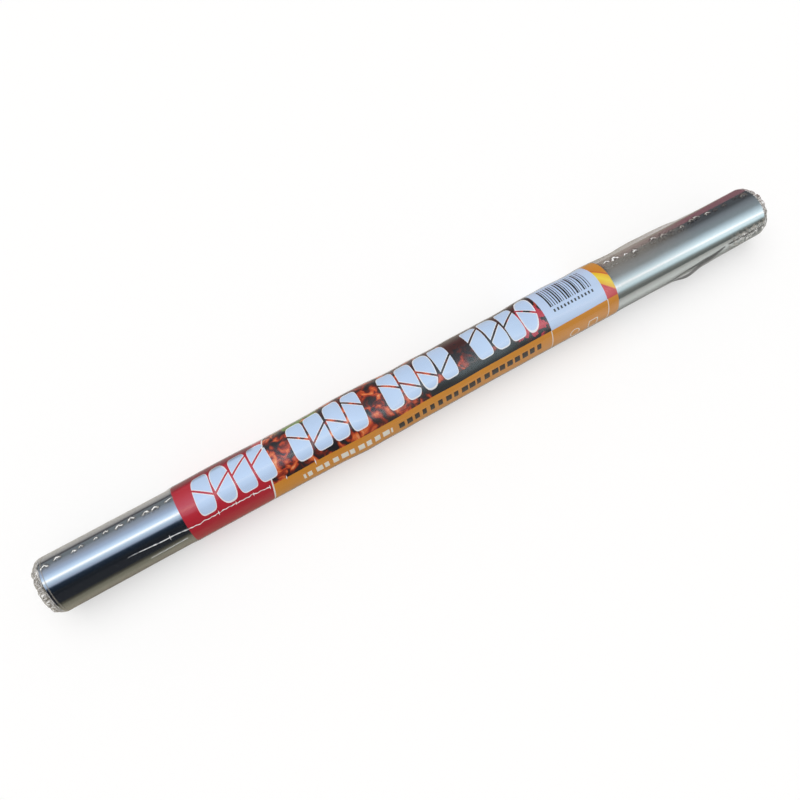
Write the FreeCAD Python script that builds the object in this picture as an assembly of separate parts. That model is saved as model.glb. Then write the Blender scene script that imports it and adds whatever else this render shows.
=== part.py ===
import FreeCAD, Part
import math
import os

# A roll of household aluminium foil on a cardboard core, with a loose
# printed paper wrap round its middle, sealed in clear shrink film.
# Millimetres. X runs along the roll, +Y points to its far side and +Z up.
# The origin is on the surface that the roll lies on, below its middle.

# The foil: 3 m of 30 micron foil wound on the core, 0.9 mm deep
foil_width = 500.0
foil_build = 0.9
turn_groups = 5
turn_setbacks = (0.0, 0.5, 0.2, 0.7, 1.1)
loose_edge_step = 0.06
loose_edge_angle = 150.0

# The cardboard core
core_setback = 0.6
core_radius = 16.15
core_wall = 1.4
core_clearance = 0.05

# The paper wrap: each section is how far along it, how loose and which way
label_width = 299.0
label_start = -169.0
label_thickness = 0.12
label_overlap_angle = 30.0
label_overlap_start = 120.0
label_ramp_angle = 22.5
label_sections = (
    (0.00, 0.15, 60.0),
    (0.14, 0.30, 45.0),
    (0.27, 0.30, 30.0),
    (0.39, 1.00, -5.0),
    (0.56, 0.65, 10.0),
    (0.72, 0.75, 50.0),
    (0.88, 1.05, 60.0),
    (1.00, 1.00, 60.0),
)

# The shrink film
film_thickness = 0.05
skin_gap = 0.05
foil_to_film = 0.10
film_step = 4.0
dome_reach = 7.6
dome_profile = ((0.30, 0.985, 0.10), (0.66, 0.90, 0.45), (0.88, 0.71, 0.60),
                (0.98, 0.46, 0.50), (0.96, 0.16, 0.0))

# The slack film past the wrap's right end: distance from the wrap, how
# loose, which way, and how far a fold stands out on the near side
slack_sections = (
    (4.0, 1.15, 65.0, 0.0),
    (28.0, 1.10, 68.0, 0.0),
    (46.0, 0.95, 70.0, 0.3),
    (58.0, 0.75, 70.0, 2.45),
    (73.0, 0.25, 70.0, 0.7),
    (88.0, 0.00, 0.0, 0.3),
)
fold_angle = -97.5
fold_half_angle = 30.0

# The film's lengthwise seal and the gathers along it
seal_angle = 30.0
seal_half_angle = 1.5
seal_height = 0.30
gather_pitch = 8.0
gather_length = 3.2
gather_half_width = 1.3
gather_height = 0.75
gather_root = 0.35
end_seal_length = 12.0
end_seal_height = 1.0
end_seal_thickness = 0.5

facets = 48
full_turn = 360.0
quarter_turn = full_turn / 4
flat_tolerance = 1e-7

# What fits round what, and what rests on what
core_length = foil_width - 2 * core_setback
foil_bore_radius = core_radius + core_clearance
foil_radius = foil_bore_radius + foil_build
axis_height = foil_radius + 2 * skin_gap + label_thickness + film_thickness
label_end = label_start + label_width
label_inner_radius = foil_radius + 2 * skin_gap
film_over_label = label_inner_radius + 2 * (label_thickness + skin_gap)
film_over_foil = foil_radius + foil_to_film
label_floor = film_thickness + skin_gap


def skin_point(x, angle, radius, slack, lean, floor):
    """Point of a loose skin round the roll; angle is from the top to the far side."""
    turn = math.radians(angle)
    reach = radius + slack * (1.0 + math.cos(turn - math.radians(lean)))
    height = axis_height + reach * math.cos(turn)
    return FreeCAD.Vector(x, reach * math.sin(turn), max(height, floor))


def closed_wire(points):
    return Part.makePolygon(points + [points[0]])


def tube(outer_radius, inner_radius, start, end):
    """Plain tube along the roll."""
    base = FreeCAD.Vector(start, 0, axis_height)
    along = FreeCAD.Vector(1, 0, 0)
    outer = Part.makeCylinder(outer_radius, end - start, base, along)
    return outer.cut(Part.makeCylinder(inner_radius, end - start, base, along))


def core_tube():
    """Wound cardboard tube, a little shorter than the foil is wide."""
    half = core_length / 2
    return tube(core_radius, core_radius - core_wall, -half, half)


def outer_turn_section(inner_radius, start):
    """Last turns seen from the end: two half circles that meet in the foil's free edge."""
    def at(radius, angle, shift=0.0):
        turn = math.radians(angle)
        lead = math.radians(loose_edge_angle)
        y = radius * math.sin(turn) + shift * math.sin(lead)
        z = radius * math.cos(turn) + shift * math.cos(lead)
        return FreeCAD.Vector(start, y, axis_height + z)

    edge = loose_edge_angle
    side, back, far_side = (edge + quarter * quarter_turn for quarter in (1, 2, 3))
    small = foil_radius - loose_edge_step / 2
    shift = -loose_edge_step / 2
    first = Part.Arc(at(foil_radius, edge), at(foil_radius, side), at(foil_radius, back))
    second = Part.Arc(at(small, back, shift), at(small, far_side, shift), at(small, edge, shift))
    step = Part.LineSegment(at(small, edge, shift), at(foil_radius, edge))
    outline = Part.Wire([first.toShape(), second.toShape(), step.toShape()])
    bore = Part.makeCircle(inner_radius, at(0, 0), FreeCAD.Vector(1, 0, 0))
    return Part.Face(outline).cut(Part.Face(Part.Wire(bore)))


def foil_roll():
    """The wound turns as one solid, its groups of turns slightly uneven at both ends."""
    half = foil_width / 2
    group = (foil_radius - foil_bore_radius) / turn_groups
    last = turn_groups - 1
    start = -half + turn_setbacks[last]
    section = outer_turn_section(foil_bore_radius + last * group, start)
    roll = section.extrude(FreeCAD.Vector(2 * (half - turn_setbacks[last]), 0, 0))
    for index in range(last):
        inner = foil_bore_radius + index * group
        end = half - turn_setbacks[index]
        roll = roll.fuse(tube(inner + group, inner, -end, end))
    return roll.removeSplitter()


def label_section(place, slack, lean):
    """Outline of the paper at one place: once round the roll and lapped over its own edge."""
    total = full_turn + label_overlap_angle
    count = round(total * facets / full_turn)
    outer = []
    inner = []
    for index in range(count + 1):
        travel = index * total / count
        lift = min(max((travel - full_turn) / label_ramp_angle + 1.0, 0.0), 1.0)
        radius = label_inner_radius + lift * (label_thickness + skin_gap)
        angle = label_overlap_start + travel
        x = label_start + place * label_width
        inner.append(skin_point(x, angle, radius, slack, lean, label_floor + label_thickness))
        outer.append(skin_point(x, angle, radius + label_thickness, slack, lean, label_floor))
    return closed_wire(outer + inner[::-1])


def label():
    """Printed paper wrap, loose round the foil and resting on its underside."""
    sections = [label_section(*section) for section in label_sections]
    return Part.makeLoft(sections, True, True)


def film_angles():
    """Corners of the film's section: even facets, and two more beside the seal."""
    even = [index * full_turn / facets for index in range(facets)]
    return sorted(even + [seal_angle - seal_half_angle, seal_angle + seal_half_angle])


def film_stations():
    """Places along the roll where the film changes: x, radius, slack, lean and fold."""
    half = foil_width / 2
    stations = [(-half, film_over_foil, 0.0, 0.0, 0.0)]
    stations.append((label_start - film_step, film_over_foil, 0.0, 0.0, 0.0))
    for place, slack, lean in label_sections:
        stations.append((label_start + place * label_width, film_over_label, slack, lean, 0.0))
    for past, slack, lean, fold in slack_sections:
        stations.append((label_end + past, film_over_foil, slack, lean, fold))
    stations.append((half, film_over_foil, 0.0, 0.0, 0.0))
    return stations


def film_ring(x, radius, slack, lean, fold, offset):
    """Film at one place along the roll; offset is its inner or outer side."""
    points = []
    for angle in film_angles():
        away = min((angle - fold_angle) % full_turn, (fold_angle - angle) % full_turn)
        crest = max(1.0 - away / fold_half_angle, 0.0)
        seal = seal_height if angle == seal_angle and offset > 0 else 0.0
        reach = radius + offset + fold * crest + seal
        floor = film_thickness - offset
        points.append(skin_point(x, angle, reach, slack, lean, floor))
    return points


def dome_ring(side, share, radius_share, pleat, offset):
    """Film past one end of the foil: every other corner is sunk into a pleat."""
    points = []
    for index, angle in enumerate(film_angles()):
        sunk = pleat * (index % 2)
        reach = share * dome_reach + offset - sunk
        radius = radius_share * film_over_foil + offset - sunk
        x = side * (foil_width / 2 + reach)
        points.append(skin_point(x, angle, radius, 0.0, 0.0, film_thickness - offset))
    return points


def flat_faces(ring, following):
    """Faces between two rings of corners: one where four corners are flat, else two."""
    faces = []
    for index, corner in enumerate(ring):
        after = (index + 1) % len(ring)
        triangle = [corner, ring[after], following[after]]
        normal = (triangle[1] - corner).cross(triangle[2] - corner).normalize()
        if abs((following[index] - corner).dot(normal)) < flat_tolerance:
            faces.append(Part.Face(closed_wire(triangle + [following[index]])))
        else:
            faces.append(Part.Face(closed_wire(triangle)))
            faces.append(Part.Face(closed_wire([corner, following[after], following[index]])))
    return faces


def film_skin(offset):
    """Solid inside one side of the film, from the left end's middle to the right end's."""
    rings = [dome_ring(-1, *ring, offset) for ring in reversed(dome_profile)]
    rings += [film_ring(*station, offset) for station in film_stations()]
    rings += [dome_ring(1, *ring, offset) for ring in dome_profile]
    faces = [Part.Face(closed_wire(rings[0])), Part.Face(closed_wire(rings[-1]))]
    for ring, following in zip(rings, rings[1:]):
        faces += flat_faces(ring, following)
    skin = Part.makeShell(faces)
    skin.sewShape()
    return Part.makeSolid(skin)


def seal_radius(x):
    """How far the film's outside stands from the roll's axis at the seal."""
    turn = math.radians(seal_angle)
    reaches = []
    for place, radius, slack, lean, fold in film_stations():
        loose = slack * (1.0 + math.cos(turn - math.radians(lean)))
        reaches.append((place, radius + film_thickness + loose))
    for (start, low), (end, high) in zip(reaches, reaches[1:]):
        if start <= x <= end:
            return low + (high - low) * (x - start) / (end - start)
    return film_over_foil + film_thickness


def gather(x):
    """One pinched gather of film across the seal."""
    radius = seal_radius(x)
    turn = math.radians(seal_angle)
    out = FreeCAD.Vector(0, math.sin(turn), math.cos(turn))
    across = FreeCAD.Vector(0, math.cos(turn), -math.sin(turn))
    along = FreeCAD.Vector(1, 0, 0)
    root = FreeCAD.Vector(x, 0, axis_height) + out * (radius - gather_root)
    corners = [
        root - along * (gather_length / 2),
        root - across * gather_half_width,
        root + along * (gather_length / 2),
        root + across * gather_half_width,
    ]
    top = root + out * (gather_root + gather_height)
    faces = [Part.Face(closed_wire([corners[i], corners[(i + 1) % 4], top])) for i in range(4)]
    faces.append(Part.Face(closed_wire(corners)))
    return Part.makeSolid(Part.makeShell(faces))


def gathers():
    """The gathers along the seal, on the bare foil at both sides of the paper."""
    half = foil_width / 2
    made = []
    for start, end in ((-half, label_start - film_step), (label_end + film_step, half)):
        count = int((end - start) / gather_pitch - 0.5)
        first = (start + end - (count - 1) * gather_pitch) / 2
        made += [gather(first + index * gather_pitch) for index in range(count)]
    return made


def end_seal(side):
    """Short ridge where the film is sealed across one end."""
    reach = foil_width / 2 + dome_reach * dome_profile[-1][0]
    low = reach - end_seal_height
    high = reach + end_seal_height
    start = low if side > 0 else -high
    corner = FreeCAD.Vector(start, -end_seal_length / 2, axis_height - end_seal_thickness / 2)
    return Part.makeBox(high - low, end_seal_length, end_seal_thickness, corner)


def shrink_film():
    """Clear film shrunk over the roll, closed and gathered at both ends."""
    outer = film_skin(film_thickness).fuse(gathers() + [end_seal(-1), end_seal(1)])
    inner = film_skin(0.0)
    return Part.makeSolid(Part.makeCompound([outer.Shells[0], inner.Shells[0].reversed()]))


os.makedirs("parts", exist_ok=True)
for piece in (core_tube, foil_roll, label, shrink_film):
    shape = piece()
    shape.exportStep("parts/" + piece.__name__ + ".step")
    print(piece.__name__, shape.isValid(), len(shape.Solids), round(shape.Volume, 1), shape.BoundBox)
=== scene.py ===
import math
import random

import bmesh
import bpy
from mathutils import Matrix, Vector, noise


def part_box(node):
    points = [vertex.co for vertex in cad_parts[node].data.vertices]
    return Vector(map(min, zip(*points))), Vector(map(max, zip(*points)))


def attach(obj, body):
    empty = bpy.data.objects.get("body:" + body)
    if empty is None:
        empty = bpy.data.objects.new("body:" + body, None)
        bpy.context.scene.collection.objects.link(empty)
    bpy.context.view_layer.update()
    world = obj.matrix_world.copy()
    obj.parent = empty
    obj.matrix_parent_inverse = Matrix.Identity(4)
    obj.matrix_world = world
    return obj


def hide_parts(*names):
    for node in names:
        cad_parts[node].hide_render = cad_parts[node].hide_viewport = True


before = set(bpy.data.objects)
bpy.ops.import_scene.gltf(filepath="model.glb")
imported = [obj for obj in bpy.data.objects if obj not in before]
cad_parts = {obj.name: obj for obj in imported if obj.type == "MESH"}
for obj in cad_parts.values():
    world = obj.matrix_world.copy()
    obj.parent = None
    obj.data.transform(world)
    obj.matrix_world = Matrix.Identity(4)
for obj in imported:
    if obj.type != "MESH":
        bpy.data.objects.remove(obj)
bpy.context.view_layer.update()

# The camera looks down on the roll from its near side, turned so that the roll
# runs from the lower left to the upper right.
camera_data = bpy.data.cameras.new("camera")
camera_data.lens = 33.2
camera = bpy.data.objects.new("camera", camera_data)
camera.location = (-0.1027, -0.0941, 0.4602)
camera.rotation_euler = [math.radians(angle) for angle in (15.17, -2.91, -29.70)]
bpy.context.scene.collection.objects.link(camera)
bpy.context.scene.camera = camera
bpy.context.scene.view_settings.view_transform = "Standard"


# The floor: a matt white sheet under the roll. It is drawn half by its own
# light where a ray sees it directly, so it looks white and keeps the roll's shadow.
MM = 0.001
ground_size = 40


def linear(hex_colour):
    """Linear colour for a node, from an sRGB hex string."""
    channels = [int(hex_colour[place:place + 2], 16) / 255 for place in (0, 2, 4)]
    return [c / 12.92 if c <= 0.04045 else ((c + 0.055) / 1.055) ** 2.4 for c in channels] + [1.0]


def add_node(tree, kind, feeds=None, stops=(), **settings):
    """Adds a node with its settings and a ramp's stops; a feed is a value, a socket or a node."""
    node = tree.nodes.new("ShaderNode" + kind)
    for name, value in settings.items():
        setattr(node, name, value)
    for key, value in (feeds or {}).items():
        if isinstance(value, bpy.types.Node):
            value = next(socket for socket in value.outputs if socket.enabled)
        if isinstance(value, bpy.types.NodeSocket):
            tree.links.new(value, node.inputs[key])
        else:
            node.inputs[key].default_value = value
    while stops and len(node.color_ramp.elements) < len(stops):
        node.color_ramp.elements.new(1.0)
    for index, (place, hex_colour) in enumerate(stops):
        node.color_ramp.elements[index].position = place
        node.color_ramp.elements[index].color = linear(hex_colour)
    return node


def new_material(name):
    """Empty node material and its node tree."""
    material = bpy.data.materials.new(name)
    material.use_nodes = True
    material.node_tree.nodes.clear()
    return material, material.node_tree


def seen_directly(tree):
    """1 for rays from the camera, a mirror or clear glass, and 0 for the light that falls on things."""
    rays = add_node(tree, "LightPath")
    feeds = {0: rays.outputs["Is Camera Ray"], 1: rays.outputs["Is Glossy Ray"]}
    seen = add_node(tree, "Math", feeds, operation="ADD")
    feeds = {0: seen, 1: rays.outputs["Is Transmission Ray"]}
    return add_node(tree, "Math", feeds, operation="ADD", use_clamp=True)


floor_material, tree = new_material("pale_floor")
paint_white = add_node(tree, "BsdfDiffuse", {"Color": linear("FEFDFC")})
plain_white = add_node(tree, "Emission", {"Color": linear("FFFFFF"), "Strength": 1.0})
paleness = add_node(tree, "Math", {0: seen_directly(tree), 1: 0.5}, operation="MULTIPLY")
pale = add_node(tree, "MixShader", {0: paleness, 1: paint_white, 2: plain_white})
add_node(tree, "OutputMaterial", {"Surface": pale})
bpy.ops.mesh.primitive_plane_add(size=ground_size)
floor = bpy.context.object
floor.name = "floor"
floor.location.z = -0.2 * MM
floor.data.materials.append(floor_material)


# The table that only mirrors see: what the foil shows below its middle is warm
# grey, darker further off, with something maroon behind the roll's right end.
table_material, tree = new_material("warm_grey_table")
place = add_node(tree, "TexCoord")
place = add_node(tree, "SeparateXYZ", {0: place.outputs["Object"]})
table_x = place.outputs["X"]
table_y = place.outputs["Y"]
depth = add_node(tree, "MapRange", {"Value": table_y, "From Min": -0.25, "From Max": 0.25})
left_table = add_node(tree, "ValToRGB", {"Fac": depth}, stops=(
    (0.00, "45443D"), (0.12, "4C4B43"), (0.39, "868373"), (0.45, "A39C8B"), (0.56, "C8C4BC"),
    (0.65, "B6B3AF"), (0.88, "5B5B5E")))
right_table = add_node(tree, "ValToRGB", {"Fac": depth}, stops=(
    (0.10, "B4B5AF"), (0.40, "D4D7D2"), (0.46, "B0B2AC"), (0.56, "A9A294"), (0.80, "6A6662")))
to_right = add_node(tree, "MapRange", {"Value": table_x, "From Min": -0.1, "From Max": 0.15})
feeds = {"Factor": to_right, "A": left_table, "B": right_table}
table_grey = add_node(tree, "Mix", feeds, data_type="RGBA")
maroon_line = add_node(tree, "Math", {0: table_x, 1: 0.5, 2: table_y}, operation="MULTIPLY_ADD")
behind = add_node(tree, "MapRange", {"Value": maroon_line, "From Min": 0.150, "From Max": 0.165})
maroon_share = add_node(tree, "Math", {0: to_right, 1: behind}, operation="MULTIPLY")
feeds = {"Factor": maroon_share, "A": table_grey, "B": linear("8D676D")}
table_colour = add_node(tree, "Mix", feeds, data_type="RGBA")
table_top = add_node(tree, "BsdfDiffuse", {"Color": table_colour})
add_node(tree, "OutputMaterial", {"Surface": table_top})
bpy.ops.mesh.primitive_plane_add(size=ground_size, location=(0, 0, -0.1 * MM))
table = bpy.context.object
table.name = "mirrored_table"
table.data.materials.append(table_material)


# The light: an even white sky, weaker as light than as it looks, and one broad
# soft lamp that stands high behind the roll.
world = bpy.data.worlds.new("even_sky")
world.use_nodes = True
bpy.context.scene.world = world
tree = world.node_tree
tree.nodes.clear()
strength = add_node(tree, "MapRange", {"Value": seen_directly(tree), "To Min": 0.48, "To Max": 1.0})
sky = add_node(tree, "Background", {"Color": linear("FFFFFF"), "Strength": strength})
add_node(tree, "OutputWorld", {"Surface": sky})

lamp_data = bpy.data.lights.new("soft_lamp", "SUN")
lamp_data.angle = math.radians(70)
lamp_data.energy = 1.75
lamp = bpy.data.objects.new("soft_lamp", lamp_data)
lamp.location = (-0.2, 0.4, 1.6)
lamp.rotation_euler = Vector(lamp.location).to_track_quat("Z", "Y").to_euler()
lamp.visible_glossy = False
bpy.context.scene.collection.objects.link(lamp)


# The room that only mirrors see: dark on the near side, with a bright window
# strip overhead that runs on a slant, and paler towards the right.
strip_skew = 0.70
room_material, tree = new_material("room")
place = add_node(tree, "TexCoord")
place = add_node(tree, "SeparateXYZ", {0: place.outputs["Object"]})
along = add_node(tree, "Math", {0: place.outputs["X"], 1: place.outputs["Z"]}, operation="DIVIDE")
across = add_node(tree, "Math", {0: place.outputs["Y"], 1: place.outputs["Z"]}, operation="DIVIDE")
skewed = add_node(tree, "Math", {0: along, 1: strip_skew, 2: across}, operation="MULTIPLY_ADD")
from_strip = add_node(tree, "MapRange", {"Value": skewed, "From Min": -1.9, "From Max": 2.1})
left_room = add_node(tree, "ValToRGB", {"Fac": from_strip}, stops=(
    (0.00, "24262A"), (0.14, "15191F"), (0.17, "2A2C2E"), (0.20, "141B24"), (0.30, "1E2733"),
    (0.325, "33404F"), (0.345, "8590A4"), (0.415, "B0C4D6"), (0.445, "FFFFFF"), (0.455, "FFFFFF"),
    (0.48, "C2D9F0"), (0.56, "99A9C1"), (0.68, "868E9B"), (1.00, "666C70")))
right_room = add_node(tree, "ValToRGB", {"Fac": from_strip}, stops=(
    (0.02, "5A5E5B"), (0.10, "7A7E7A"), (0.16, "666A68"), (0.25, "8E9C9D"), (0.33, "C2D6DB"),
    (0.41, "D2E3E6"), (0.435, "FFFFFF"), (0.45, "FFFFFF"), (0.475, "D8EBF1"), (0.56, "A3B3BB"),
    (0.62, "7A8488"), (0.76, "6F757A"), (1.00, "46494C")))
to_right = add_node(tree, "MapRange", {"Value": along, "From Min": 0.0, "From Max": 0.5})
feeds = {"Factor": to_right, "A": left_room, "B": right_room}
room_colour = add_node(tree, "Mix", feeds, data_type="RGBA")
glow = add_node(tree, "Emission", {"Color": room_colour, "Strength": 1.45})
add_node(tree, "OutputMaterial", {"Surface": glow})
bpy.ops.mesh.primitive_uv_sphere_add(radius=3, segments=64, ring_count=32)
room = bpy.context.object
room.name = "room"
room.data.materials.append(room_material)
for mirrored in (table, room):
    mirrored.visible_camera = False
    mirrored.visible_diffuse = False
    mirrored.visible_transmission = False
    mirrored.visible_shadow = False


# The core: a tube of grey-brown board, wound from strips on a slant, a little
# shorter than the foil is wide. It keeps its CAD shape. Board is matt and mottled
# by its fibres, which are drawn 1.1 mm long, coarser than they are.
fibre_size = 1.11 * MM
core_material, tree = new_material("spiral_wound_board")
place = add_node(tree, "TexCoord")
feeds = {"Vector": place.outputs["Object"], "Scale": 1 / fibre_size, "Detail": 4.0}
fibres = add_node(tree, "TexNoise", feeds)
board_colour = add_node(tree, "ValToRGB", {"Fac": fibres}, stops=((0.3, "8E8475"), (0.7, "A89D8D")))
board = add_node(tree, "BsdfPrincipled", {"Base Color": board_colour, "Roughness": 0.85})
add_node(tree, "OutputMaterial", {"Surface": board})
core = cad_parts["core_tube"]
core.data.materials.clear()
core.data.materials.append(core_material)


# The foil: 3 m of bright aluminium foil wound on the core, its turns a little
# uneven at both ends and its free edge lying under the roll. Rolling gives it a
# near-mirror shine with fine lines round the roll, drawn 0.4 mm apart to show.
full_turn = 360.0
foil_low, foil_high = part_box("foil_roll")
foil_radius = (foil_high.z - foil_low.z) / 2
axis_height = (foil_high.z + foil_low.z) / 2
half_foil = foil_high.x
foil_build = 0.9 * MM
foil_turns = 10
turn_depth = foil_build / foil_turns
deepest_setback = 1.0 * MM
free_edge_angle = 150.0
free_edge_step = 0.06 * MM
foil_angle_step = 2.0
smooth_angle = math.radians(40)
ripple_share = 0.6
ripples_per_metre = 45
ripples_round = 1.2
rolling_line = 0.4 * MM
rolling_length = 16.7 * MM

foil_material, tree = new_material("bright_rolled_aluminium")
place = add_node(tree, "TexCoord")
line_scale = (1 / rolling_line, 1 / rolling_length, 1 / rolling_length)
stretch = add_node(tree, "Mapping", {"Vector": place.outputs["Object"], "Scale": line_scale})
rolling = add_node(tree, "TexNoise", {"Vector": stretch, "Scale": 1.0, "Detail": 3.0})
shine = add_node(tree, "MapRange", {"Value": rolling, "To Min": 0.07, "To Max": 0.13})
feeds = {"Base Color": linear("E6E8EA"), "Metallic": 1.0, "Roughness": shine}
metal = add_node(tree, "BsdfPrincipled", feeds)
add_node(tree, "OutputMaterial", {"Surface": metal})


def skin_point(x, angle, radius, slack=0.0, lean=0.0, floor_height=0.0):
    """Point of a loose skin round the roll, in metres; angle is from the top to the far side."""
    turn = math.radians(angle)
    spot = Vector((x * ripples_per_metre, ripples_round * math.cos(turn), ripples_round * math.sin(turn)))
    ripple = 1 + ripple_share * noise.noise(spot)
    reach = radius + slack * ripple * (1 + math.cos(turn - math.radians(lean)))
    return (x, reach * math.sin(turn), max(axis_height + reach * math.cos(turn), floor_height))


def span(start, end, step):
    """Even values from start to end, about a step apart."""
    count = max(round(abs(end - start) / step), 1)
    return [start + (end - start) * index / count for index in range(count + 1)]


def mesh_from_rings(name, rings, closed_round=True, closed_along=False):
    """Mesh between rings of points, with its faces turned outward."""
    count = len(rings[0])
    spans = len(rings) if closed_along else len(rings) - 1
    steps = count if closed_round else count - 1
    faces = []
    for row in range(spans):
        for step in range(steps):
            following = (row + 1) % len(rings)
            after = (step + 1) % count
            faces.append((row * count + step, following * count + step,
                          following * count + after, row * count + after))
    mesh = bpy.data.meshes.new(name)
    mesh.from_pydata([point for ring in rings for point in ring], [], faces)
    return mesh


def weld(mesh):
    """Merges the points of a mesh that lie in one place."""
    shell = bmesh.new()
    shell.from_mesh(mesh)
    bmesh.ops.remove_doubles(shell, verts=shell.verts, dist=1e-7)
    shell.to_mesh(mesh)
    shell.free()


def add_piece(name, mesh, node, slot, *materials):
    """Puts a finished mesh in the scene as a piece that stands for a CAD node."""
    piece = bpy.data.objects.new(name, mesh)
    bpy.context.scene.collection.objects.link(piece)
    for material in materials:
        mesh.materials.append(material)
    bpy.ops.object.select_all(action="DESELECT")
    piece.select_set(True)
    bpy.context.view_layer.objects.active = piece
    bpy.ops.object.shade_smooth_by_angle(angle=smooth_angle)
    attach(piece, "root")
    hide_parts(node)
    return piece


random.seed(7)
setbacks = [random.uniform(0.0, 1.0) * deepest_setback for turn in range(foil_turns - 1)] + [0.0]
end_profile = []
for turn, setback in enumerate(setbacks):
    for depth in (turn, turn + 1):
        end_profile.append((half_foil - setback, foil_radius - foil_build + depth * turn_depth))
profile = [(-x, radius) for x, radius in end_profile] + end_profile[::-1]
foil_rings = []
for x, radius in profile:
    outermost = radius >= foil_radius - turn_depth / 2
    ring = []
    for angle in span(free_edge_angle, free_edge_angle + full_turn, foil_angle_step):
        wound = (angle - free_edge_angle) / full_turn
        ring.append(skin_point(x, angle, radius - free_edge_step * wound * outermost))
    foil_rings.append(ring)
foil_mesh = mesh_from_rings("foil", foil_rings, closed_along=True)
weld(foil_mesh)
add_piece("foil", foil_mesh, "foil_roll", "foil", foil_material)


# The wrap: gloss-coated paper printed on its front, loose round the foil and
# lapped over its own edge at the back. Its print is fields of colour and plain
# shapes, placed in mm along the roll and round it from the top.
label_low, label_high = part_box("label")
label_width = label_high.x - label_low.x
label_thickness = 0.12 * MM
label_radius = foil_radius + 0.1 * MM + label_thickness
lap_start = 120.0
lap_angle = 30.0
lap_ramp = 22.5
lap_gap = 0.05 * MM
ember_size = 6.25
ragged_size = 4.55
gold_depth = 26.0
far = 200.0

paper_material, tree = new_material("gloss_printed_paper")
place = add_node(tree, "UVMap", uv_map="print")
spot = add_node(tree, "VectorMath", {0: place, "Scale": 1 / MM}, operation="SCALE")
place = add_node(tree, "SeparateXYZ", {0: spot})
print_x = place.outputs["X"]
print_y = place.outputs["Y"]

# Embers in the dark field, brightest on its left part
feeds = {"Vector": spot, "Scale": 1 / ember_size, "Detail": 6.0, "Distortion": 0.8}
coals = add_node(tree, "TexNoise", feeds)
feeds = {"Value": print_x, "From Min": -20.0, "From Max": 50.0, "To Min": 0.06, "To Max": -0.12}
ember_share = add_node(tree, "MapRange", feeds)
heat = add_node(tree, "Math", {0: coals, 1: ember_share}, operation="ADD")
embers = add_node(tree, "ValToRGB", {"Fac": heat}, stops=(
    (0.42, "252326"), (0.50, "3A2524"), (0.56, "6E2418"), (0.62, "C2421C"), (0.70, "E8783A"),
    (0.80, "F3B27C")))

# How far a spot is past the red field's slanted end, and above the gold band's top
slant = add_node(tree, "Math", {0: print_y, 1: 0.19, 2: -113.0}, operation="MULTIPLY_ADD")
past_slant = add_node(tree, "Math", {0: print_x, 1: slant}, operation="SUBTRACT")
gold_top = add_node(tree, "Math", {0: print_x, 1: 0.012, 2: -11.9}, operation="MULTIPLY_ADD")
above_gold = add_node(tree, "Math", {0: print_y, 1: gold_top}, operation="SUBTRACT")

# A ragged edge for ovals, as a limit that wanders
rough_edge = add_node(tree, "TexNoise", {"Vector": spot, "Scale": 1 / ragged_size, "Detail": 5.0})
oval_limit = add_node(tree, "Math", {0: rough_edge, 1: 5.0, 2: -1.7}, operation="MULTIPLY_ADD")


def oval(middle_x, middle_y, half_x, half_y):
    """1 inside a rough-edged oval of the print."""
    feeds = {"Vector": spot, "Location": (-middle_x / half_x, -middle_y / half_y, 0.0),
             "Scale": (1 / half_x, 1 / half_y, 1.0)}
    away = add_node(tree, "Mapping", feeds)
    away = add_node(tree, "VectorMath", {0: away, 1: away}, operation="DOT_PRODUCT")
    return add_node(tree, "Math", {0: away, 1: oval_limit}, operation="LESS_THAN")


def field(across, x_span, up, y_span):
    """1 inside a straight-edged field, given by the ends of two of the print's sizes."""
    inside = []
    for size, (start, end) in ((across, x_span), (up, y_span)):
        feeds = {0: size, 1: (start + end) / 2, 2: (end - start) / 2}
        inside.append(add_node(tree, "Math", feeds, operation="COMPARE"))
    return add_node(tree, "Math", {0: inside[0], 1: inside[1]}, operation="MULTIPLY")


def bars(pitch, thinnest, spread):
    """1 on upright bars, one to a pitch, each with a share of the pitch of its own."""
    step = add_node(tree, "Math", {0: print_x, 1: pitch}, operation="DIVIDE")
    number = add_node(tree, "Math", {0: step}, operation="FLOOR")
    chance = add_node(tree, "TexWhiteNoise", {"W": number}, noise_dimensions="1D")
    width = add_node(tree, "Math", {0: chance, 1: spread, 2: thinnest}, operation="MULTIPLY_ADD")
    past_edge = add_node(tree, "Math", {0: step}, operation="FRACT")
    return add_node(tree, "Math", {0: past_edge, 1: width}, operation="LESS_THAN")


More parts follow.
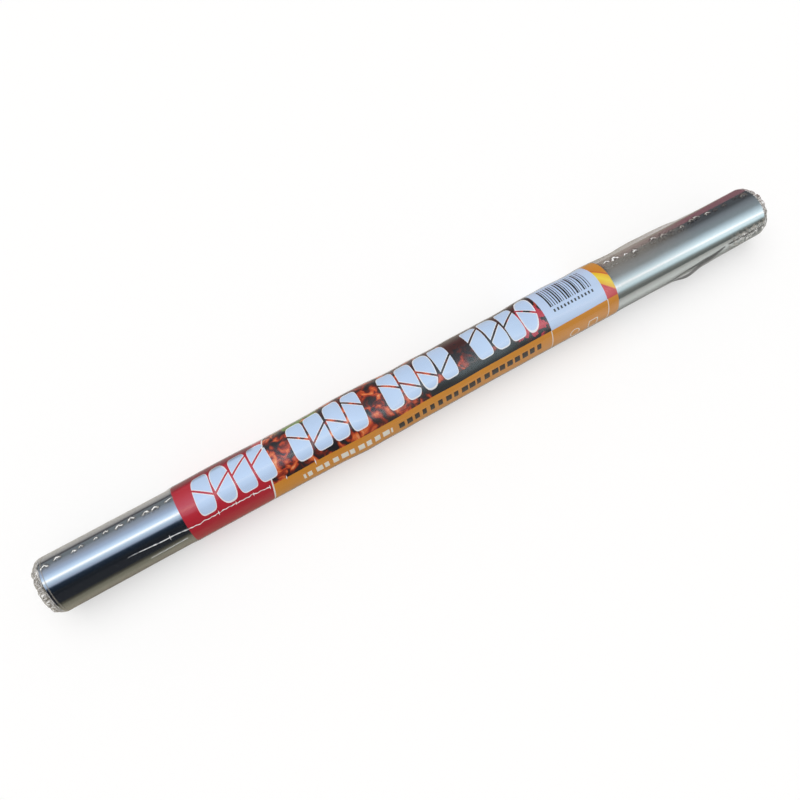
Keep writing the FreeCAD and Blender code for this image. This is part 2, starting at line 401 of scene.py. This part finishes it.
# Each layer is where it prints and its colour: a patchy dark field, a gold band, a red
# field that ends on a slant with a white line, and a pale field with bars
warm_slant = add_node(tree, "Math", {0: print_x, 1: 0.9, 2: print_y}, operation="MULTIPLY_ADD")
warm_share = add_node(tree, "MapRange", {"Value": warm_slant, "From Min": 101.4, "From Max": 131.4})
warm = add_node(tree, "ValToRGB", {"Fac": warm_share}, stops=(
    (0.00, "D8484A"), (0.27, "CF3440"), (0.30, "F0B71C"), (0.45, "F7DE3E"), (0.60, "F3C022"),
    (0.62, "C92A30"), (0.65, "D98C2A"), (1.00, "D9952A")))
on_gold = (-gold_depth, 0.0)
over_gold = (0.0, far)
layers = [
    (oval(30.0, 14.0, 50.0, 9.0), linear("4A2825")),
    (oval(-86.0, 21.0, 16.0, 7.0), linear("6F8F3A")),
    (oval(69.0, 0.0, 13.0, 10.0), linear("C5364A")),
    (field(print_x, (-8.0, 54.0), above_gold, (0.0, 5.5)), linear("2B2A2B")),
    (field(print_x, (-far, far), above_gold, on_gold), linear("E2962A")),
    (field(past_slant, (-far, 0.0), print_y, (-far, far)), linear("C11E31")),
    (field(past_slant, (-0.9, 0.0), print_y, (-far, far)), linear("F3F1EE")),
    (field(print_x, (79.0, 122.0), above_gold, over_gold), linear("C8DCF9")),
    (field(print_x, (122.0, far), above_gold, over_gold), warm),
    (field(print_x, (78.6, 79.2), above_gold, on_gold), linear("F3EFE6")),
    (field(print_x, (121.8, 122.4), above_gold, on_gold), linear("F3EFE6")),
]
for pitch, thinnest, spread, x_span, up, y_span, ink in (
        (1.7, 0.20, 0.55, (85.0, 116.0), print_y, (1.5, 17.0), "17171C"),
        (2.6, 0.45, 0.00, (85.0, 116.0), print_y, (-2.0, -0.2), "17171C"),
        (5.6, 0.50, 0.35, (-98.0, -38.0), above_gold, (-9.0, -4.4), "F6F1E4"),
        (5.6, 0.50, 0.35, (-34.0, 72.0), above_gold, (-9.0, -4.4), "2E1E12")):
    feeds = {0: bars(pitch, thinnest, spread), 1: field(print_x, x_span, up, y_span)}
    layers.append((add_node(tree, "Math", feeds, operation="MULTIPLY"), linear(ink)))

# Pale blue blocks with a white edge and a slanted gap, in a row that leaves each fifth place free
block_pitch = 12.4
block_start = -159.0
block_count = 19
free_place = 5.0
block_half_width = 5.3
block_half_height = 12.0
feeds = {0: print_x, 1: 1 / block_pitch, 2: -block_start / block_pitch}
block_step = add_node(tree, "Math", feeds, operation="MULTIPLY_ADD")
number = add_node(tree, "Math", {0: block_step}, operation="FLOOR")
chance = add_node(tree, "TexWhiteNoise", {"W": number}, noise_dimensions="1D")
chances = add_node(tree, "SeparateColor", {0: chance.outputs["Color"]})
corner_chance, lean_chance, gap_chance = chances.outputs
past_edge = add_node(tree, "Math", {0: block_step}, operation="FRACT")
feeds = {0: past_edge, 1: block_pitch, 2: -block_pitch / 2}
upright = add_node(tree, "Math", feeds, operation="MULTIPLY_ADD")
row_middle = add_node(tree, "Math", {0: print_x, 1: 0.018, 2: 5.0}, operation="MULTIPLY_ADD")
block_y = add_node(tree, "Math", {0: print_y, 1: row_middle}, operation="SUBTRACT")
lean = add_node(tree, "Math", {0: lean_chance, 1: 0.3, 2: -0.15}, operation="MULTIPLY_ADD")
block_x = add_node(tree, "Math", {0: block_y, 1: lean, 2: upright}, operation="MULTIPLY_ADD")
corner = add_node(tree, "Math", {0: corner_chance, 1: 3.5, 2: 2.2}, operation="MULTIPLY_ADD")
reaches = []
for size, half in ((block_x, block_half_width), (block_y, block_half_height)):
    share = add_node(tree, "Math", {0: size, 1: half}, operation="DIVIDE")
    share = add_node(tree, "Math", {0: share}, operation="ABSOLUTE")
    reaches.append(add_node(tree, "Math", {0: share, 1: corner}, operation="POWER"))
reach = add_node(tree, "Math", {0: reaches[0], 1: reaches[1]}, operation="ADD")
gap_side = add_node(tree, "Math", {0: lean_chance, 1: 0.5}, operation="GREATER_THAN")
gap_slope = add_node(tree, "Math", {0: gap_side, 1: 1.4, 2: -0.7}, operation="MULTIPLY_ADD")
gap_middle = add_node(tree, "Math", {0: gap_chance, 1: 9.0, 2: -4.5}, operation="MULTIPLY_ADD")
gap_line = add_node(tree, "Math", {0: block_x, 1: gap_slope, 2: gap_middle}, operation="MULTIPLY_ADD")
from_gap = add_node(tree, "Math", {0: block_y, 1: gap_line}, operation="SUBTRACT")
from_gap = add_node(tree, "Math", {0: from_gap}, operation="ABSOLUTE")
in_group = add_node(tree, "Math", {0: number, 1: free_place}, operation="FLOORED_MODULO")
in_row = field(number, (-0.5, block_count - 0.5), in_group, (-0.5, free_place - 1.5))
for limit, half_gap, ink in ((1.22, 0.7, "F4F6FA"), (0.95, 1.2, "C6DDFB")):
    inside = add_node(tree, "Math", {0: reach, 1: limit}, operation="LESS_THAN")
    off_gap = add_node(tree, "Math", {0: from_gap, 1: half_gap}, operation="GREATER_THAN")
    block = add_node(tree, "Math", {0: inside, 1: off_gap}, operation="MULTIPLY")
    block = add_node(tree, "Math", {0: in_row, 1: block}, operation="MULTIPLY")
    layers.append((block, linear(ink)))

# A ring and a rounded square in outline on the gold: the power sets how square
mark_y = -22.5
mark_line = (3.0, 3.7)
for mark_x, power in ((96.0, 2.0), (110.0, 8.0)):
    reaches = []
    for size, middle in ((print_x, mark_x), (print_y, mark_y)):
        away = add_node(tree, "Math", {0: size, 1: middle}, operation="SUBTRACT")
        away = add_node(tree, "Math", {0: away}, operation="ABSOLUTE")
        reaches.append(add_node(tree, "Math", {0: away, 1: power}, operation="POWER"))
    reach = add_node(tree, "Math", {0: reaches[0], 1: reaches[1]}, operation="ADD")
    reach = add_node(tree, "Math", {0: reach, 1: 1 / power}, operation="POWER")
    layers.append((field(reach, mark_line, print_y, (-far, far)), linear("F6F1E4")))

printed = embers
for printed_place, ink in layers:
    feeds = {"Factor": printed_place, "A": printed, "B": ink}
    printed = add_node(tree, "Mix", feeds, data_type="RGBA")
paper = add_node(tree, "BsdfPrincipled", {"Base Color": printed, "Roughness": 0.38})
add_node(tree, "OutputMaterial", {"Surface": paper})

# The back is bare paper, matt, with a cloudy pulp drawn coarser than it is, 1.4 mm across
pulp_size = 1.43 * MM
plain_material, tree = new_material("plain_paper_back")
place = add_node(tree, "TexCoord")
feeds = {"Vector": place.outputs["Object"], "Scale": 1 / pulp_size, "Detail": 4.0}
pulp = add_node(tree, "TexNoise", feeds)
pulp_colour = add_node(tree, "ValToRGB", {"Fac": pulp}, stops=((0.3, "E9E6E0"), (0.7, "F2F0EB")))
paper_back = add_node(tree, "BsdfPrincipled", {"Base Color": pulp_colour, "Roughness": 0.7})
add_node(tree, "OutputMaterial", {"Surface": paper_back})

# How loose the wrap is along its width, in mm, and the angle it is loosest at
label_looseness = [
    (label_low.x + place * label_width, slack * MM, lean)
    for place, slack, lean in ((0.00, 0.15, 60), (0.14, 0.30, 45), (0.27, 0.30, 30), (0.39, 1.00, -5),
                               (0.56, 0.65, 10), (0.72, 0.75, 50), (0.88, 1.05, 60), (1.00, 1.00, 60))
]


def blend_rows(rows, x):
    """Values at x, passing smoothly through rows that each start with their own x."""
    if x <= rows[0][0]:
        return rows[0][1:]
    for (start, *low), (end, *high) in zip(rows, rows[1:]):
        if x <= end:
            share = (x - start) / (end - start)
            share = share * share * (3 - 2 * share)
            return [a + (b - a) * share for a, b in zip(low, high)]
    return rows[-1][1:]


label_turns = span(0.0, full_turn + lap_angle, 3.0)
label_rings = []
for x in span(label_low.x, label_high.x, 2.5 * MM):
    slack, lean = blend_rows(label_looseness, x)
    ring = []
    for travel in label_turns:
        lapped = min(max((travel - full_turn) / lap_ramp + 1, 0), 1)
        radius = label_radius + lapped * (label_thickness + lap_gap)
        ring.append(skin_point(x, lap_start + travel, radius, slack, lean, label_low.z))
    label_rings.append(ring)
label_mesh = mesh_from_rings("label", label_rings, closed_round=False)
print_map = label_mesh.uv_layers.new(name="print")
for loop in label_mesh.loops:
    row, step = divmod(loop.vertex_index, len(label_turns))
    arc = math.radians(lap_start + label_turns[step] - full_turn) * label_radius
    print_map.data[loop.index].uv = (label_rings[row][0][0], arc)
label = add_piece("label", label_mesh, "label", "printed_paper", paper_material, plain_material)
thicken = label.modifiers.new("paper", "SOLIDIFY")
thicken.thickness = label_thickness
thicken.offset = -1
thicken.material_offset = 1
thicken.material_offset_rim = 1
bpy.ops.object.modifier_apply(modifier="paper")
bpy.ops.object.shade_smooth_by_angle(angle=smooth_angle)


# The film: clear shrink film, tight over the foil and slack past the wrap's right
# end, with a puckered seal along its far side and gathered ends. It is glossy and
# clear. Where it is crumpled it is white, partly from real whitening and partly
# from painted glints, and where creases and folds turn it is darkened by painted
# shade that stands for the dark room mirrored in the film.
film_material, tree = new_material("clear_shrink_film")
haze_and_glint = add_node(tree, "Attribute", attribute_name="haze_and_glint").outputs["Fac"]
shade = add_node(tree, "Attribute", attribute_name="shade").outputs["Fac"]
# Colour of the whitened film and its painted glints, beige where thin, white where full
haze_and_glint_tint = add_node(tree, "ValToRGB", {"Fac": haze_and_glint}, stops=(
    (0.0, "A69C90"), (0.6, "B8B2A8"), (1.0, "FFFFFF")))
milky_and_glint = add_node(tree, "BsdfDiffuse", {"Color": haze_and_glint_tint})
clear = add_node(tree, "BsdfTransparent", {"Color": linear("FAFAFA")})
# Painted shade: a dark colour laid on the film where it should mirror the dark room
painted_dark_film = add_node(tree, "BsdfDiffuse", {"Color": linear("403B3D")})
body = add_node(tree, "MixShader", {0: haze_and_glint, 1: clear, 2: milky_and_glint})
body = add_node(tree, "MixShader", {0: shade, 1: body, 2: painted_dark_film})
gloss = add_node(tree, "BsdfGlossy", {"Color": linear("FFFFFF"), "Roughness": 0.06})
facing = add_node(tree, "LayerWeight", {"Blend": 0.5})
grazing = add_node(tree, "Math", {0: facing.outputs["Facing"], 1: 5.0}, operation="POWER")
edge_gloss = add_node(tree, "Math", {0: grazing, 1: 0.75, 2: 0.07}, operation="MULTIPLY_ADD")
wrapped = add_node(tree, "MixShader", {0: edge_gloss, 1: body, 2: gloss})
add_node(tree, "OutputMaterial", {"Surface": wrapped})

# Over the wrap and over the bare foil, then how the slack and a fold run out to the right
film_low, film_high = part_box("shrink_film")
label_film = label_radius + 2 * label_thickness + 0.05 * MM
foil_film = foil_radius + 0.15 * MM
wrap_step = 4 * MM
film_rows = [(-half_foil, foil_film, 0.0, 0.0, 0.0), (label_low.x - wrap_step, foil_film, 0.0, 0.0, 0.0)]
film_rows += [(x, label_film, slack, lean, 0.0) for x, slack, lean in label_looseness]
film_rows += [(label_high.x + past * MM, foil_film, slack * MM, lean, fold * MM)
              for past, slack, lean, fold in ((4, 1.15, 65, 0), (28, 1.10, 68, 0), (46, 0.95, 70, 0.3),
                                              (58, 0.75, 70, 2.45), (73, 0.25, 70, 0.7), (88, 0, 70, 0.3))]
film_rows.append((half_foil, foil_film, 0.0, 70.0, 0.0))
fold_angle = -97.5
fold_half_angle = 30.0
film_wave = 0.06 * MM
fine_step = 0.5 * MM

# The gathered ends: how far out each ring is, as a share of the reach, and its radius
dome_reach = film_high.x - half_foil - 1.1 * MM
dome_profile = ((0.0, 1.0), (0.30, 0.985), (0.52, 0.95), (0.70, 0.89), (0.84, 0.79), (0.93, 0.66),
                (0.98, 0.50), (0.99, 0.34), (0.97, 0.18), (0.96, 0.0))
gather_depth = 1.3 * MM
gather_dent = 0.7 * MM

# Marks on the film: painted glints and painted shade on crinkles near the right end, a
# painted highlight line at the left rim, a dark wedge near the right end that is a painted
# reflection of the dark room in the fold, and painted shade on the far side of the wrap's left part
crinkle_start = 0.218
crinkle_ramp = 12 * MM
crinkle_angle = -66.0
crinkle_half = 30.0
rim_glint_inset = 1.5 * MM
rim_glint_half_width = 0.3 * MM
wedge_rows = ((0.166, -101.0, 0.1), (0.180, -93.0, 9.0), (0.203, -78.0, 12.0), (0.221, -62.0, 0.1))
far_shade_angle = 65.0
far_shade_half = 26.0
far_shade_end = -0.118

# The seal's puckers: place along the roll, angle, height, size, and whiteness of their whitening and
# painted glints
seal_middle = 31.0
seal_reach = 9.0
pucker_pitch = 7.4 * MM
pucker_half_length = 2.5 * MM
pucker_half_width = 1.7 * MM
end_margin = 5 * MM
puckers = []
for start, end in ((-half_foil + end_margin, label_low.x - wrap_step),
                   (label_high.x + end_margin, half_foil - end_margin)):
    for x in span(start, end, pucker_pitch):
        # Painted glints: bright on the puckers at the left, dimmer at the right, where painted shade takes
        # over
        glint_whiteness = random.uniform(0.85, 1.15) if x < 0 else random.uniform(0.0, 0.9)
        puckers.append((x + random.uniform(-1.6, 1.6) * MM, seal_middle + random.uniform(-3.5, 5.0),
                        random.uniform(0.25, 0.7) * MM, random.uniform(0.65, 1.4), glint_whiteness))


def closeness(angle, middle, half_width):
    """1 where an angle is the middle one, down to 0 at half a width from it."""
    away = abs((angle - middle + full_turn / 2) % full_turn - full_turn / 2)
    return max(1 - away / half_width, 0)


def pucker_at(x, angle):
    """Height of the seal's puckers at one place, their whitening with painted glints, and their painted
    shade.
    """
    height = 0.0
    milk_and_glint = 0.0
    painted_dark = 0.0
    for middle, turn, tall, size, glint_whiteness in puckers:
        along = (x - middle) / (pucker_half_length * size)
        across = math.radians(angle - turn) * foil_film / (pucker_half_width * size)
        away = along * along + across * across
        if away < 1.6:
            crumple = noise.noise(Vector((x * 1100, angle * 0.36, middle * 900)))
            height += tall * max(1 - away, 0) * (0.55 + 0.9 * crumple)
            arch = across + 1.1 * abs(along) - 0.45 + 0.7 * crumple
            if away < 1:
                # Painted glint along each arch over a little real whitening, and painted shade in dark arcs
                # beside it
                milk_and_glint += glint_whiteness * (abs(arch) < 0.28) * (1 - away * away) + 0.15 * (1 - away)
            painted_dark += (1.3 - glint_whiteness) * ((0.28 < arch < 0.85) or (-1.0 < arch < -0.4)) * (1 - away / 1.6)
    return max(height, 0.0), min(milk_and_glint, 1.0), min(painted_dark, 0.8)


def film_point(x, angle, lift=0.0):
    """Point of the film between its two ends, lifted off its smooth form."""
    radius, slack, lean, fold = blend_rows(film_rows, x)
    wave = film_wave * (1 + noise.noise(Vector((x * 60, angle * 0.05, 2.0))))
    stand = fold * closeness(angle, fold_angle, fold_half_angle)
    return skin_point(x, angle, radius + wave + lift + stand, slack, lean, film_low.z)


film_angles = sorted(set(span(seal_middle - seal_reach, seal_middle + seal_reach, 0.7)
                         + span(seal_middle + seal_reach, seal_middle - seal_reach + full_turn, 3.0)[1:-1]))
film_rings = []
film_marks = []


def dome_ring(side, share, radius_share):
    """Ring of the film past one end of the foil, drawn in by gathers, with painted glint lines and painted
    shade lines.
    """
    pinch = math.sin(math.pi * share) if share < 0.5 else 1.0
    ring = []
    for angle in film_angles:
        turn = math.radians(angle)
        spot = Vector((math.cos(turn) * 5, math.sin(turn) * 5, side * 4 + radius_share * 3))
        crinkle = noise.noise(spot) * 0.6 + noise.noise(spot * 3.1) * 0.4
        drawn_in = pinch * (0.5 + crinkle)
        x = side * (half_foil + dome_reach * share - gather_depth * drawn_in)
        ring.append(skin_point(x, angle, foil_film * radius_share - gather_dent * drawn_in * radius_share))
        # Painted glint lines and painted shade lines across the gathers, over the gathered film's whitening
        line = noise.noise(spot * 2.1)
        glint_line = abs(line) < 0.12
        shade_line = abs(line - 0.28) < 0.09
        milk_and_glint = 0.25 + 0.5 * max(crinkle, 0) + 0.8 * glint_line
        film_marks.append((milk_and_glint * pinch, 0.3 * shade_line * pinch))
    film_rings.append(ring)


for share, radius_share in dome_profile[:0:-1]:
    dome_ring(-1, share, radius_share)
film_stations = span(-half_foil, label_low.x - wrap_step, fine_step)
film_stations += span(label_low.x - wrap_step, label_high.x + wrap_step, 2.5 * MM)[1:]
film_stations += span(label_high.x + wrap_step, half_foil, fine_step)[1:]
for x in film_stations:
    slack, lean, fold = blend_rows(film_rows, x)[1:]
    wedge_angle, wedge_half = blend_rows(wedge_rows, x)
    on_rim_glint = abs(x + half_foil - rim_glint_inset) < rim_glint_half_width
    under_far_shade = label_low.x < x < far_shade_end
    ring = []
    for angle in film_angles:
        height, milk_and_glint, painted_dark = pucker_at(x, angle)
        ring.append(film_point(x, angle, height))
        loose = slack * (1 + math.cos(math.radians(angle - lean))) / (2 * MM) * (x > label_high.x)
        # Painted glints and painted shade on the crinkles near the right end, in lines
        crinkle_paint = closeness(angle, crinkle_angle, crinkle_half)
        crinkle_paint *= min(max((x - crinkle_start) / crinkle_ramp, 0), 1)
        lines = noise.noise(Vector((x * 420 + angle * 0.13, x * 150 - angle * 0.06, 9.0)))
        # Whitening of the slack film, painted glints on the crinkles and a painted highlight line at the
        # left rim
        milk_and_glint += 0.38 * loose * loose + crinkle_paint * (0.15 + 1.2 * (lines > 0.15)) + 0.5 * on_rim_glint
        milk_and_glint += 0.25 * closeness(angle, fold_angle, fold_half_angle) * min(fold / MM, 1)
        # Painted shade: dark crinkle lines, the dark wedge as a painted reflection of the dark room, and
        # the far side of the wrap darkened
        painted_dark += 0.6 * crinkle_paint * (lines < -0.2) + min(1.6 * closeness(angle, wedge_angle, wedge_half), 0.8)
        painted_dark += 0.35 * min(3 * closeness(angle, far_shade_angle, far_shade_half), 1) * under_far_shade
        film_marks.append((milk_and_glint, painted_dark))
    film_rings.append(ring)
for share, radius_share in dome_profile[1:]:
    dome_ring(1, share, radius_share)


def paint(mesh, marks):
    """Stores the film's whitening with its painted glints, and its painted shade, one pair for each point.
    """
    for layer_name, values in zip(("haze_and_glint", "shade"), zip(*marks)):
        layer = mesh.attributes.new(layer_name, "FLOAT", "POINT")
        layer.data.foreach_set("value", [min(max(value, 0.0), 1.0) for value in values])


film_mesh = mesh_from_rings("film", film_rings)
paint(film_mesh, film_marks)
add_piece("film", film_mesh, "shrink_film", "clear_film", film_material)
weld(film_mesh)


# The creases: sharp lines where the film was pulled along the near side, with short
# cross folds, painted white as a glint. They stand up a little from the film.
# Painted glint: full white on the creases, no shade
crease_glint_marks = (0.95, 0.0)
crease_foot = 0.02 * MM
crease_height = 0.16 * MM
crease_taper = 14 * MM
fold_foot = 0.03 * MM
fold_height = 0.20 * MM
fold_half_width = 0.32 * MM
fold_slope = 0.25 * MM


def add_crease(name, mesh):
    """Paints a white glint on a ridge and adds it as a piece of the film."""
    paint(mesh, [crease_glint_marks] * len(mesh.vertices))
    add_piece(name, mesh, "shrink_film", "clear_film", film_material)


for name, half_width, path in (
        ("film_crease", 0.22 * MM, ((-0.205, -34.0), (-0.180, -38.5), (-0.164, -41.7), (-0.150, -40.8),
                                    (-0.139, -40.2), (-0.128, -41.0), (-0.118, -44.0))),
        ("film_lower_crease", 0.12 * MM, ((-0.195, -61.0), (-0.172, -60.0)))):
    rings = []
    for x in span(path[0][0], path[-1][0], fine_step):
        jagged = 3.0 if x > label_low.x else 0.5
        angle = blend_rows(path, x)[0] + jagged * noise.noise(Vector((x * 330, 7.0, 1.0)))
        taper = min((x - path[0][0]) / crease_taper, 1) * 0.8 + 0.2
        uneven = 1 + 1.2 * noise.noise(Vector((x * 500, 3.0, 5.0)))
        spread = taper * math.degrees(half_width / foil_film) * uneven
        rings.append([film_point(x, angle - spread, crease_foot), film_point(x, angle, crease_height),
                      film_point(x, angle + spread, crease_foot)])
    add_crease(name, mesh_from_rings(name, rings, closed_round=False))

for index, (x, angle) in enumerate((
        (-0.180, -38.5), (-0.150, -40.8), (-0.139, -40.2), (-0.128, -41), (-0.118, -44),
        (-0.107, -42.5), (-0.088, -42))):
    half_length = random.uniform(3.5, 8.0)
    rings = []
    for share in span(-1.0, 1.0, 0.25):
        turn = angle + share * half_length
        middle = x + fold_slope * share
        half = fold_half_width * (1.1 - abs(share))
        rings.append([film_point(middle + half, turn, fold_foot), film_point(middle, turn, fold_height),
                      film_point(middle - half, turn, fold_foot)])
    add_crease("film_cross_fold_" + str(index), mesh_from_rings("cross_fold", rings, closed_round=False))
